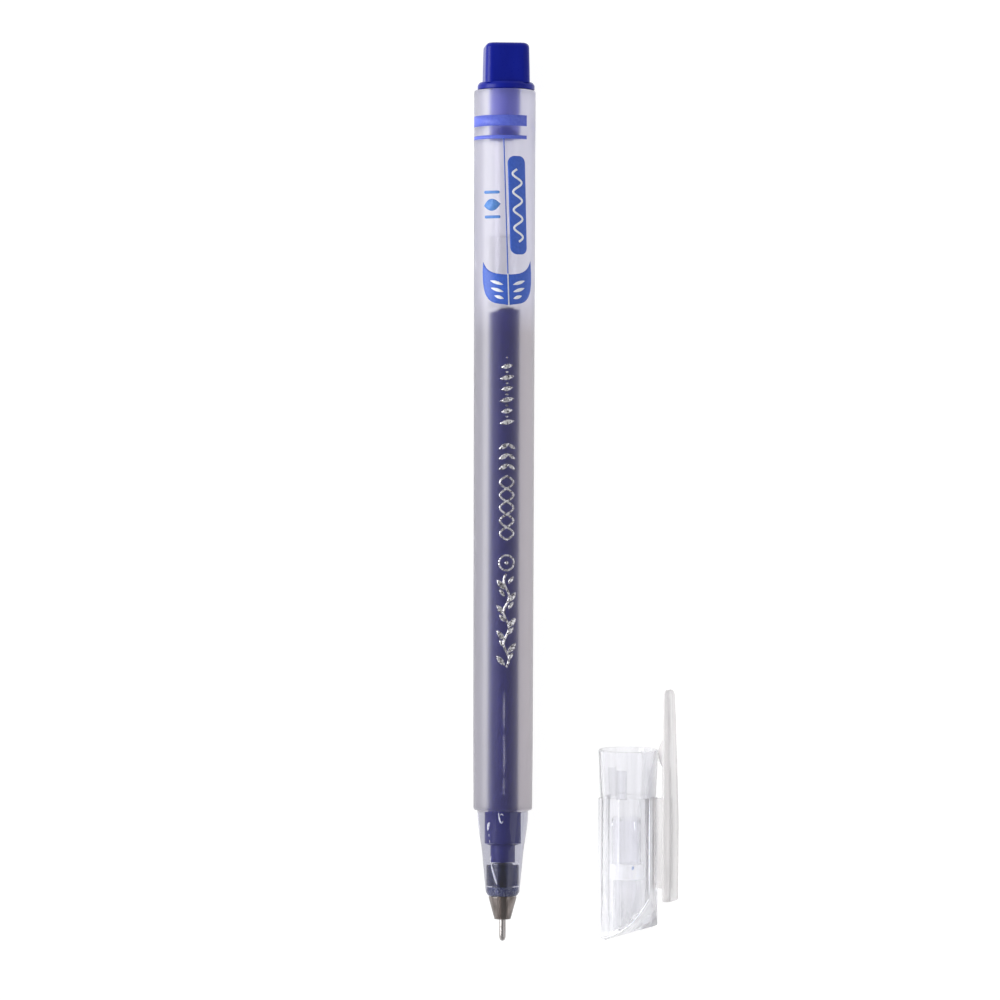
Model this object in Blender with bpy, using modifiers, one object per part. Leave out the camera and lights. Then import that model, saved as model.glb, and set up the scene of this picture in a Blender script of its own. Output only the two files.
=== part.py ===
"""A gel pen lying on a table beside its cap, as separate solids.

World frame: metres, +Z up, table at Z = 0. The pen's axis runs along Y, with the writing ball at -Y and the
end plug at +Y, and the cap's axis is parallel to it. Each axis has an empty whose local +Z points to world +Y,
so that in both local frames z is the distance from the writing ball's front, x is world X, and an azimuth
measured from +X towards the sky is the local angle turned the other way.
"""

import math

import bmesh
import bpy
from mathutils import Matrix, Vector

MM = 0.001

# Layout
PEN_LENGTH = 149.5
BARREL_RIM_RADIUS = 5.12
AXIS_SPACING = 20.88
PEN_X = -12.01
CAP_X = PEN_X + AXIS_SPACING
AXIS_HEIGHT = BARREL_RIM_RADIUS

# Barrel: a thick-walled tube that holds the ink itself
BARREL_END = 141.7
SHOULDER = 21.9
SHOULDER_RADIUS = 4.9
NOSE_FRONT = 7.6
BORE_RADIUS = 1.7
NECK_RADIUS = 1.35
NECK_BACK = 16.2
SPIGOT_BORE_RADIUS = 2.0
SPIGOT_BORE_BACK = 13.3
NOSE_OUTLINE = [(4.25, 21.6), (4.17, 19.8), (4.0, 18.5), (3.75, 16.8), (3.5, 15.2), (3.17, 11.8), (2.83, 8.3)]

# Fits
SLIP = 0.05
JOINT_GAP = 0.1

# Ink and the grease that follows it down the bore
INK_TOP = 105.0
INK_SLANT = 0.12
FOLLOWER_LENGTH = 11.9

# Tip
HOLDER_BACK_RADIUS = 2.33
HOLDER_FRONT_RADIUS = 1.33
HOLDER_FRONT = 3.67
NEEDLE_RADIUS = 0.55
NEEDLE_BORE = 0.34
NEEDLE_BACK = 11.0
BALL_RADIUS = 0.25
SPRING_WIRE = 0.05
SPRING_RADIUS = 0.2
SPRING_TURNS = 6

# End plug
PLUG_FLANGE_RADIUS = 4.75
PLUG_FLANGE_TOP = 143.0
PLUG_STEM_END = 133.4
PLUG_BLOCK_SIDE = 7.5
PLUG_BLOCK_TURN = math.radians(5)
PLUG_BLOCK_TAPER = 0.97

# Cap
CAP_TURN = math.radians(18)
CAP_MOUTH = 31.9
CAP_LEDGE = 24.0
CAP_CORNER_RADIUS = 5.15
CAP_END_BY_CORNER = [7.9, 3.3, 1.0, 0.3, 0.95, 2.2]
CAP_MOUTH_RADIUS = 5.0
CAP_LEDGE_RADIUS = 4.44
CAP_BORE_RADIUS = 3.85
CAP_POST_RADIUS = 2.1
PAD_BOTTOM = 10.45
PAD_TOP = 13.0
PAD_RADIUS = 3.0
SLEEVE_TOP = 20.2
SLEEVE_RADIUS = 2.6
SLEEVE_BORE = 2.25
RIB_TOP = 28.7
RIB_COUNT = 3

# Clip, measured outwards from the cap's axis
CLIP_INNER = 6.7
CLIP_OUTER = 8.0
CLIP_WIDTH = 5.0
CLIP_TIP_WIDTH = 3.3
CLIP_BOTTOM = 6.9
CLIP_SPLIT = 28.0
CLIP_TOP = 42.05
CLIP_TIP_LEAN = -0.3
WEB_THICKNESS = 1.2
WEB_BOTTOM = 9.0
BUMP_CENTRE = 31.4
BUMP_SIZE = (1.15, 1.0, 2.8)


def clear_scene():
    for obj in list(bpy.data.objects):
        bpy.data.objects.remove(obj, do_unlink=True)


def new_collection(name):
    found = bpy.data.collections.new(name)
    bpy.context.scene.collection.children.link(found)
    return found


def new_axis(name, x):
    """An empty on an axis, its local +Z towards world +Y, its origin level with the ball's front."""
    axis = bpy.data.objects.new(name, None)
    axis.location = (x * MM, -PEN_LENGTH / 2 * MM, AXIS_HEIGHT * MM)
    axis.rotation_euler = (-math.pi / 2, 0, 0)
    PARTS.objects.link(axis)
    return axis


def plastic(name, color, roughness, metallic=0.0, transmission=0.0):
    material = bpy.data.materials.new(name)
    material.use_nodes = True
    shader = material.node_tree.nodes["Principled BSDF"]
    shader.inputs["Base Color"].default_value = (*color, 1)
    shader.inputs["Roughness"].default_value = roughness
    shader.inputs["Metallic"].default_value = metallic
    shader.inputs["Transmission Weight"].default_value = transmission
    material.diffuse_color = (*color, 1)
    return material


def add_object(name, mesh, axis, material=None):
    """Links a part, or a tool for a Boolean where it has no material."""
    obj = bpy.data.objects.new(name, mesh)
    obj.parent = axis
    (PARTS if material else CUTTERS).objects.link(obj)
    if material:
        mesh.materials.append(material)
    else:
        obj.hide_render = True
        obj.display_type = "WIRE"
    return obj


def mesh_from(bm, name):
    mesh = bpy.data.meshes.new(name)
    bm.to_mesh(mesh)
    bm.free()
    return mesh


def turned(name, profile, axis, material=None, steps=32, ring=False):
    """A profile of (radius, distance) in mm, from its outer side, turned about the axis."""
    bm = bmesh.new()
    points = [bm.verts.new((radius * MM, 0, along * MM)) for radius, along in profile]
    for first, second in zip(points, points[1:] + points[:1] if ring else points[1:]):
        bm.edges.new((first, second))
    obj = add_object(name, mesh_from(bm, name), axis, material)
    screw = obj.modifiers.new("turn", "SCREW")
    screw.steps = steps
    screw.render_steps = steps
    screw.use_merge_vertices = True
    screw.merge_threshold = 1e-6
    screw.use_smooth_shade = True
    return obj


def block(name, size, centre, axis, material=None, turn=0.0, far_scale=(1, 1), bevel=0.0):
    """A box whose +Z end is scaled, turned about the axis, with its edges rounded. Sizes in mm."""
    bm = bmesh.new()
    bmesh.ops.create_cube(bm, size=1)
    for vert in bm.verts:
        scale = far_scale if vert.co.z > 0 else (1, 1)
        vert.co.x *= size[0] * scale[0]
        vert.co.y *= size[1] * scale[1]
        vert.co.z *= size[2]
        vert.co += Vector(centre)
    bm.transform(Matrix.Rotation(-turn, 4, "Z") @ Matrix.Scale(MM, 4))
    obj = add_object(name, mesh_from(bm, name), axis, material)
    if bevel:
        add_bevel(obj, bevel)
    return obj


def add_bevel(obj, width, segments=2):
    rounding = obj.modifiers.new("rounded edges", "BEVEL")
    rounding.width = width * MM
    rounding.segments = segments
    rounding.limit_method = "ANGLE"
    return rounding


def combine(obj, other, operation):
    """Adds, cuts or keeps what is common with another object."""
    boolean = obj.modifiers.new(other.name, "BOOLEAN")
    boolean.operation = operation
    boolean.object = other
    boolean.solver = "EXACT"


def to_mesh(obj):
    """The object's evaluated mesh in its place, so that single points of a turned shape can move."""
    bpy.context.view_layer.update()
    mesh = bpy.data.meshes.new_from_object(obj.evaluated_get(bpy.context.evaluated_depsgraph_get()))
    obj.modifiers.clear()
    obj.data = mesh
    return mesh


def make_barrel(axis):
    shoulder = [(SHOULDER_RADIUS, 23.0), (SHOULDER_RADIUS - 0.1, 22.4), (SHOULDER_RADIUS - 0.35, SHOULDER)]
    outside = [(BARREL_RIM_RADIUS - 0.15, BARREL_END), (BARREL_RIM_RADIUS, BARREL_END - 0.2), (4.97, 33.5)]
    front = [(2.38, NOSE_FRONT), (SPIGOT_BORE_RADIUS, NOSE_FRONT)]
    inside = [
        (SPIGOT_BORE_RADIUS, SPIGOT_BORE_BACK),
        (NECK_RADIUS, SPIGOT_BORE_BACK),
        (NECK_RADIUS, NECK_BACK),
        (BORE_RADIUS, NECK_BACK + 0.3),
        (BORE_RADIUS, BARREL_END),
    ]
    profile = outside + shoulder + NOSE_OUTLINE + front + inside
    frosted = plastic("frosted barrel", (0.8, 0.81, 0.86), 0.35, 0, 0.7)
    turned("barrel", profile, axis, frosted, 48, ring=True)


def make_end_plug(axis):
    stem = BORE_RADIUS - SLIP
    profile = [
        (0, PLUG_FLANGE_TOP),
        (PLUG_FLANGE_RADIUS - 0.3, PLUG_FLANGE_TOP),
        (PLUG_FLANGE_RADIUS, PLUG_FLANGE_TOP - 0.4),
        (PLUG_FLANGE_RADIUS, BARREL_END + JOINT_GAP),
        (stem, BARREL_END + JOINT_GAP),
        (stem, PLUG_STEM_END),
        (stem - 0.4, PLUG_STEM_END),
        (stem - 0.5, PLUG_STEM_END + 1.0),
        (0, PLUG_STEM_END + 1.8),
    ]
    plug = turned("end_plug", profile, axis, plastic("blue plug", (0.02, 0.03, 0.42), 0.3), 48)
    base = PLUG_FLANGE_TOP - 0.5
    height = PEN_LENGTH - base
    grip = block(
        "plug_grip",
        (PLUG_BLOCK_SIDE, PLUG_BLOCK_SIDE, height),
        (0, 0, base + height / 2),
        axis,
        turn=-PLUG_BLOCK_TURN,
        far_scale=(PLUG_BLOCK_TAPER, PLUG_BLOCK_TAPER),
    )
    add_bevel(grip, 1.2, 4)
    combine(plug, grip, "UNION")


def make_ink(axis):
    slip_bore = BORE_RADIUS - 0.08
    slip_neck = NECK_RADIUS - 0.07
    profile = [
        (0, INK_TOP),
        (slip_bore, INK_TOP),
        (slip_bore, NECK_BACK + 0.25),
        (slip_neck, NECK_BACK),
        (slip_neck, SPIGOT_BORE_BACK + 0.1),
        (0.38, SPIGOT_BORE_BACK + 0.1),
        (0.38, NEEDLE_BACK + 0.3),
        (0, NEEDLE_BACK + 0.3),
    ]
    ink = turned("ink_column", profile, axis, plastic("gel ink", (0.03, 0.03, 0.2), 0.3), 24)
    for vert in to_mesh(ink).vertices:
        if vert.co.z > (INK_TOP - 1) * MM:
            vert.co.z += INK_SLANT * vert.co.x


def make_follower(axis):
    radius = BORE_RADIUS - 0.08
    bottom = INK_TOP + 0.5
    top = bottom + FOLLOWER_LENGTH
    profile = [
        (0, top - 0.8),
        (0.9, top - 0.65),
        (1.4, top - 0.25),
        (radius, top),
        (radius, bottom),
        (0, bottom),
    ]
    turned("ink_follower", profile, axis, plastic("clear grease", (0.9, 0.92, 0.9), 0.1, 0, 0.9), 24)


def make_tip_holder(axis):
    spigot = SPIGOT_BORE_RADIUS - SLIP
    back = SPIGOT_BORE_BACK - JOINT_GAP
    bore = NEEDLE_RADIUS + SLIP
    profile = [
        (spigot, back),
        (spigot, NOSE_FRONT - JOINT_GAP),
        (HOLDER_BACK_RADIUS, NOSE_FRONT - JOINT_GAP),
        (HOLDER_FRONT_RADIUS, HOLDER_FRONT),
        (bore, HOLDER_FRONT),
        (bore, NEEDLE_BACK + 0.1),
        (0.45, NEEDLE_BACK + 0.1),
        (0.45, back),
    ]
    smoky = plastic("smoky grey", (0.12, 0.11, 0.11), 0.2, 0, 0.4)
    turned("tip_holder", profile, axis, smoky, 32, ring=True)


def make_needle(axis):
    lip = BALL_RADIUS - 0.11
    profile = [
        (NEEDLE_RADIUS, NEEDLE_BACK),
        (NEEDLE_RADIUS, 0.95),
        (0.42, 0.4),
        (0.34, lip),
        (BALL_RADIUS, lip),
        (BALL_RADIUS + 0.03, BALL_RADIUS),
        (BALL_RADIUS + 0.03, 0.5),
        (0.15, 0.62),
        (0.15, 0.8),
        (NEEDLE_BORE, 0.95),
        (NEEDLE_BORE, NEEDLE_BACK),
    ]
    turned("needle_tube", profile, axis, plastic("stainless steel", (0.7, 0.7, 0.72), 0.25, 1), 24, ring=True)


def make_ball(axis):
    """The ball, its origin at its centre, where it rolls."""
    bm = bmesh.new()
    bmesh.ops.create_uvsphere(bm, u_segments=16, v_segments=8, radius=BALL_RADIUS * MM)
    hard_metal = plastic("hard metal", (0.5, 0.5, 0.52), 0.15, 1)
    ball = add_object("writing_ball", mesh_from(bm, "writing_ball"), axis, hard_metal)
    ball.location.z = BALL_RADIUS * MM
    ball.data.shade_smooth()


def make_ball_spring(axis):
    """A fine wire whose straight end holds the ball against its seat, and whose coil pushes it."""
    coil_start = 1.4
    pitch = 0.55
    points_per_turn = 10
    route = [(0, 0, 2.2 * BALL_RADIUS), (0, 0, 0.9), (SPRING_RADIUS / 2, 0, coil_start - 0.25)]
    for i in range(SPRING_TURNS * points_per_turn + 1):
        angle = math.tau * i / points_per_turn
        along = coil_start + pitch * i / points_per_turn
        route.append((SPRING_RADIUS * math.cos(angle), SPRING_RADIUS * math.sin(angle), along))
    curve = bpy.data.curves.new("ball_spring", "CURVE")
    curve.dimensions = "3D"
    curve.bevel_depth = SPRING_WIRE * MM
    curve.bevel_resolution = 1
    curve.use_fill_caps = True
    spline = curve.splines.new("POLY")
    spline.points.add(len(route) - 1)
    for point, place in zip(spline.points, route):
        point.co = (*(MM * Vector(place)), 1)
    add_object("ball_spring", curve, axis, plastic("spring wire", (0.6, 0.6, 0.62), 0.3, 1))


def cap_cavity_floor(x, up):
    """Height in mm of the cavity's floor, a wall's thickness above the closed end's facets."""
    return max(1.9, 2.6 + 0.21 * x + 0.42 * up, -1.4 + 1.25 * x + 1.57 * up)


def cap_cavity(axis):
    """The space inside the cap: a wide mouth, a narrower bore, and below the pad a moat round the post."""
    placeholder = 1.0
    profile = [
        (0, CAP_MOUTH + 1),
        (CAP_MOUTH_RADIUS - 0.55, CAP_MOUTH + 1),
        (CAP_MOUTH_RADIUS - 0.6, CAP_MOUTH - 0.3),
        (CAP_LEDGE_RADIUS - 0.5, CAP_LEDGE + 0.4),
        (CAP_BORE_RADIUS, CAP_LEDGE + 0.2),
        (CAP_BORE_RADIUS, placeholder),
        (CAP_POST_RADIUS, placeholder),
        (CAP_POST_RADIUS, PAD_BOTTOM - SLIP),
        (0, PAD_BOTTOM - SLIP),
    ]
    cavity = turned("cap_cavity", profile, axis)
    for vert in to_mesh(cavity).vertices:
        if vert.co.z < (placeholder + 0.1) * MM:
            vert.co.z = cap_cavity_floor(vert.co.x / MM, -vert.co.y / MM) * MM
    return cavity


def cap_hexagon(axis, material):
    """The six-sided lower part, its closed end cut off on the slant in facets."""
    bm = bmesh.new()
    height = CAP_LEDGE * MM
    radius = CAP_CORNER_RADIUS * MM
    bmesh.ops.create_cone(bm, cap_ends=True, segments=6, radius1=radius, radius2=radius, depth=height)
    first_corner = CAP_TURN + math.radians(30)
    low_corners = {}
    for vert in bm.verts:
        corner = round((math.atan2(vert.co.y, vert.co.x) - math.radians(30)) / math.radians(60)) % 6
        angle = first_corner + corner * math.radians(60)
        is_low = vert.co.z < 0
        if is_low:
            low_corners[corner] = vert
        vert.co.x = radius * math.cos(angle)
        vert.co.y = -radius * math.sin(angle)
        vert.co.z = CAP_END_BY_CORNER[corner] * MM if is_low else height
    for first, second in ((1, 5), (2, 5)):
        bmesh.ops.connect_verts(bm, verts=[low_corners[first], low_corners[second]])
    bmesh.ops.triangulate(bm, faces=[face for face in bm.faces if face.calc_center_median().z < 0.5 * height])
    bmesh.ops.recalc_face_normals(bm, faces=bm.faces)
    return add_object("cap_shell", mesh_from(bm, "cap_shell"), axis, material)


def make_cap_shell(axis):
    shell = cap_hexagon(axis, plastic("clear cap", (0.92, 0.93, 0.95), 0.05, 0, 0.95))
    sunk = CAP_LEDGE - 1
    collar = [(0, CAP_MOUTH), (CAP_MOUTH_RADIUS, CAP_MOUTH), (CAP_LEDGE_RADIUS, sunk), (0, sunk)]
    combine(shell, turned("cap_collar", collar, axis, steps=36), "UNION")
    combine(shell, cap_cavity(axis), "DIFFERENCE")
    for i in range(RIB_COUNT):
        rib = block(
            f"cap_rib_{i + 1}",
            (0.45, 1.8, RIB_TOP - CAP_LEDGE + 0.3),
            (4.12, 0, (RIB_TOP + CAP_LEDGE - 0.3) / 2),
            axis,
            turn=CAP_TURN + math.radians(90) + math.tau * i / RIB_COUNT,
        )
        combine(shell, rib, "UNION")


def make_seal_pad(axis):
    profile = [
        (0, PAD_TOP - 0.5),
        (0.7, PAD_TOP - 0.4),
        (0.9, PAD_TOP),
        (PAD_RADIUS - 0.2, PAD_TOP),
        (PAD_RADIUS, PAD_TOP - 0.2),
        (PAD_RADIUS, PAD_BOTTOM),
        (0, PAD_BOTTOM),
    ]
    turned("seal_pad", profile, axis, plastic("white rubber", (0.8, 0.8, 0.82), 0.6), 28)


def make_needle_sleeve(axis):
    profile = [
        (SLEEVE_RADIUS - 0.1, SLEEVE_TOP),
        (SLEEVE_RADIUS, SLEEVE_TOP - 0.15),
        (SLEEVE_RADIUS, PAD_TOP + SLIP),
        (SLEEVE_BORE, PAD_TOP + SLIP),
        (SLEEVE_BORE, SLEEVE_TOP),
    ]
    clear = plastic("clear sleeve", (0.9, 0.92, 0.95), 0.1, 0, 0.9)
    turned("needle_sleeve", profile, axis, clear, 28, ring=True)


def make_clip_root(axis, material):
    """The clip's lower strip and the web that stands it off the cap."""
    strip = block(
        "clip_root",
        (CLIP_OUTER - CLIP_INNER, CLIP_WIDTH, CLIP_SPLIT - CLIP_BOTTOM),
        ((CLIP_OUTER + CLIP_INNER) / 2, 0, (CLIP_SPLIT + CLIP_BOTTOM) / 2),
        axis,
        material,
        CAP_TURN,
        bevel=0.4,
    )
    face_distance = CAP_CORNER_RADIUS * math.cos(math.radians(30)) + SLIP
    web_depth = CLIP_INNER + 0.4 - face_distance
    web = block(
        "clip_web",
        (web_depth, WEB_THICKNESS, CLIP_SPLIT - 0.3 - WEB_BOTTOM),
        (face_distance + web_depth / 2, 0, (CLIP_SPLIT - 0.3 + WEB_BOTTOM) / 2),
        axis,
        turn=CAP_TURN,
    )
    combine(strip, web, "UNION")
    clearance = CAP_MOUTH_RADIUS + 0.1
    relief = [(0, CAP_MOUTH), (clearance, CAP_MOUTH), (clearance, CAP_LEDGE), (0, CAP_LEDGE)]
    combine(strip, turned("clip_web_relief", relief, axis), "DIFFERENCE")


def make_clip_arm(axis, material):
    """The clip's free arm, with the bump that grips the cloth. Its origin is on its flex line."""
    base = CLIP_SPLIT + 0.3
    flex = Vector((CLIP_INNER + 0.5, 0, CLIP_SPLIT + 0.15))
    arm = block(
        "clip_arm",
        (CLIP_OUTER - CLIP_INNER - 0.1, CLIP_WIDTH, CLIP_TOP - base),
        ((CLIP_OUTER + CLIP_INNER - 0.1) / 2, 0, (CLIP_TOP + base) / 2),
        axis,
        material,
        far_scale=(1, CLIP_TIP_WIDTH / CLIP_WIDTH),
    )
    for vert in arm.data.vertices:
        if vert.co.z > CLIP_TOP * MM - 1e-5:
            vert.co.x += CLIP_TIP_LEAN * MM
    add_bevel(arm, 0.45)
    bm = bmesh.new()
    bmesh.ops.create_uvsphere(bm, u_segments=16, v_segments=10, radius=MM)
    bump_place = Matrix.Translation(Vector((CLIP_INNER - 0.1, 0, BUMP_CENTRE)) * MM)
    bm.transform(bump_place @ Matrix.Diagonal((*BUMP_SIZE, 1)))
    bump = add_object("clip_bump", mesh_from(bm, "clip_bump"), axis)
    combine(arm, bump, "UNION")
    place = Matrix.Rotation(-CAP_TURN, 4, "Z") @ Matrix.Translation(flex * MM)
    for obj in (arm, bump):
        obj.data.transform(Matrix.Translation(-flex * MM))
        obj.matrix_local = place


def make_pen():
    axis = new_axis("pen_axis", PEN_X)
    make_barrel(axis)
    make_end_plug(axis)
    make_ink(axis)
    make_follower(axis)
    make_tip_holder(axis)
    make_needle(axis)
    make_ball(axis)
    make_ball_spring(axis)


def make_cap():
    axis = new_axis("cap_axis", CAP_X)
    make_cap_shell(axis)
    make_seal_pad(axis)
    make_needle_sleeve(axis)
    clip_plastic = plastic("milky clip", (0.85, 0.82, 0.84), 0.3, 0, 0.5)
    make_clip_root(axis, clip_plastic)
    make_clip_arm(axis, clip_plastic)


clear_scene()
PARTS = new_collection("gel pen")
CUTTERS = new_collection("cutters")
make_pen()
make_cap()
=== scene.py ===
"""The looks of the gel pen and its cap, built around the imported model.

Lengths are millimetres unless a name says otherwise. A place on the pen or the cap is given in its own
axis frame: the distance s from the writing ball's front along the axis, the radius, and the azimuth from +X
towards the sky. Printed shapes are drawn flat, as (across, s), and wrapped round the barrel.
"""

import math

import bmesh
import bpy
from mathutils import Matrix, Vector


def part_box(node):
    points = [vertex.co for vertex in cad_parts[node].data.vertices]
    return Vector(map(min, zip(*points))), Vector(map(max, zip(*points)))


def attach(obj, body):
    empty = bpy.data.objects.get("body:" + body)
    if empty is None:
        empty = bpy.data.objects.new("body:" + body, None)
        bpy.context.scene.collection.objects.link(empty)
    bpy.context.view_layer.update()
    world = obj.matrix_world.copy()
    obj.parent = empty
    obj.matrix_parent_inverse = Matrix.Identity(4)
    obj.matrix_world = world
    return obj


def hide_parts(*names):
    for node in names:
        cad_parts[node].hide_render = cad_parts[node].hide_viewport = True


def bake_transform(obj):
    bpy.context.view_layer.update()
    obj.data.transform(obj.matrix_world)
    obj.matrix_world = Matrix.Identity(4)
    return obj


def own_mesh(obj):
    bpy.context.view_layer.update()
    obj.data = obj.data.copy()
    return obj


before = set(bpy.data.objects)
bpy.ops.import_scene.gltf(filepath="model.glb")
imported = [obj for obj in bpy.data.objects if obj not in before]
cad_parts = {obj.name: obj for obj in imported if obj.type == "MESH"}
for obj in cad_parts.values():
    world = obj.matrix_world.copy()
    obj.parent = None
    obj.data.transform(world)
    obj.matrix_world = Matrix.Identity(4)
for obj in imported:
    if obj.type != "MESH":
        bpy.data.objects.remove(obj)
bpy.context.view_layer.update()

MM = 0.001


def middle(node):
    low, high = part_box(node)
    return (low + high) / 2


PEN_AXIS = middle("barrel")
CAP_AXIS = middle("needle_sleeve")
BALL_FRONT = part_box("writing_ball")[0].y
AXIS_HEIGHT = PEN_AXIS.z


def along(node):
    """A node's two ends, as distances in mm from the writing ball's front."""
    low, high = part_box(node)
    return (low.y - BALL_FRONT) / MM, (high.y - BALL_FRONT) / MM


NOSE_FRONT, BARREL_END = along("barrel")
PEN_LENGTH = along("end_plug")[1]
INK_TOP = along("ink_column")[1]
FOLLOWER_BOTTOM, FOLLOWER_TOP = along("ink_follower")
HOLDER_FRONT, HOLDER_BACK = along("tip_holder")
NEEDLE_BACK = along("needle_tube")[1]
CAP_END, CAP_MOUTH = along("cap_shell")
PAD_BOTTOM, PAD_TOP = along("seal_pad")
SLEEVE_TOP = along("needle_sleeve")[1]
CLIP_BOTTOM = along("clip_root")[0]
CLIP_TOP = along("clip_arm")[1]

# Pen
RIM_RADIUS = (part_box("barrel")[1].x - PEN_AXIS.x) / MM
WAIST_RADIUS = 4.97
WAIST = 33.5
SHOULDER_RADIUS = 4.9
SHOULDER = 21.9
BORE = 1.7
NOSE_BORE = 2.0
NOSE_BORE_BACK = 22.3
NECK_BORE = 1.35
NECK_BACK = 16.2
SPIGOT_BORE = 1.8
SPIGOT_BORE_BACK = 13.3
CONTACT = 0.02  # what fills the bore reaches this far into the wall, so that no film of air shows
FLANGE_TOP = 143.0
GRIP_TURN = math.radians(-5)
STEM_END = 133.4
NEEDLE_RADIUS = 0.55
BALL_RADIUS = 0.25

# Cap
CAP_TURN = math.radians(18)
CAP_LEDGE = 24.0
CAP_APOTHEM = 4.46
CAP_CORNER_ROUNDING = 0.35
CAP_BORE = 3.85
CAP_POST = 2.1
SLEEVE_INNER = 2.15
SLEEVE_OUTER = 2.45
PAD_RADIUS = 3.0


# ---------------------------------------------------------------- places and meshes


def place(axis, radius, azimuth, s):
    """The point in metres at that radius, azimuth and distance on an axis."""
    across = radius * math.cos(azimuth) * MM
    up = radius * math.sin(azimuth) * MM
    return Vector((axis.x + across, BALL_FRONT + s * MM, AXIS_HEIGHT + up))


def add_piece(name, bm, material, body, smooth=True, sharp=40):
    """Makes an object of a mesh that is already in place."""
    mesh = bpy.data.meshes.new(name)
    bmesh.ops.recalc_face_normals(bm, faces=bm.faces)
    bm.to_mesh(mesh)
    bm.free()
    mesh.materials.append(material)
    if smooth:
        mesh.shade_smooth()
        mesh.set_sharp_from_angle(angle=math.radians(sharp))
    obj = bpy.data.objects.new(name, mesh)
    bpy.context.scene.collection.objects.link(obj)
    if body:
        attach(obj, body)
    return obj


def softened(profile, cut, steps=3):
    """The profile with each inner corner replaced by a short curve that starts a cut before it."""
    points = [Vector(p) for p in profile]
    result = [points[0]]
    for before, corner, after in zip(points, points[1:], points[2:]):
        reach_in = min(cut, 0.45 * (corner - before).length)
        reach_out = min(cut, 0.45 * (after - corner).length)
        start = corner + (before - corner).normalized() * reach_in
        end = corner + (after - corner).normalized() * reach_out
        for i in range(steps + 1):
            t = i / steps
            result.append(start * (1 - t) ** 2 + corner * 2 * t * (1 - t) + end * t * t)
    result.append(points[-1])
    return [tuple(p) for p in result]


def flowing(points, steps=5):
    """A smooth curve through a few points (Catmull-Rom)."""
    known = [Vector(p) for p in points]
    ends = [2 * known[0] - known[1], *known, 2 * known[-1] - known[-2]]
    result = []
    for a, b, c, d in zip(ends, ends[1:], ends[2:], ends[3:]):
        square, cube = 2 * a - 5 * b + 4 * c - d, 3 * b - a - 3 * c + d
        for i in range(steps):
            t = i / steps
            result.append(0.5 * (2 * b + (c - a) * t + square * t * t + cube * t**3))
    return [tuple(p) for p in result] + [tuple(known[-1])]


def skin(bm, rings, closed=False):
    """Quads between neighbouring rings of vertices. A ring of one vertex is a tip."""
    pairs = list(zip(rings, rings[1:]))
    if closed:
        pairs.append((rings[-1], rings[0]))
    for first, second in pairs:
        count = max(len(first), len(second))
        for i in range(count):
            j = (i + 1) % count
            below = [first[i % len(first)], first[j % len(first)]]
            above = [second[j % len(second)], second[i % len(second)]]
            unique = list(dict.fromkeys(below + above))
            if len(unique) > 2:
                bm.faces.new(unique)


def turned_mesh(profile, axis, steps=96, ring=False, reshape=None):
    """A profile of (radius, s) turned about an axis. reshape(x, up, s) may move a point, in mm."""
    bm = bmesh.new()
    rings = []
    for radius, s in profile:
        count = 1 if radius < 1e-6 else steps
        vertices = []
        for i in range(count):
            azimuth = math.tau * i / steps
            x, up, at = radius * math.cos(azimuth), radius * math.sin(azimuth), s
            if reshape:
                x, up, at = reshape(x, up, at)
            point = Vector((axis.x + x * MM, BALL_FRONT + at * MM, AXIS_HEIGHT + up * MM))
            vertices.append(bm.verts.new(point))
        rings.append(vertices)
    skin(bm, rings, ring)
    return bm


# ---------------------------------------------------------------- materials


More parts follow.
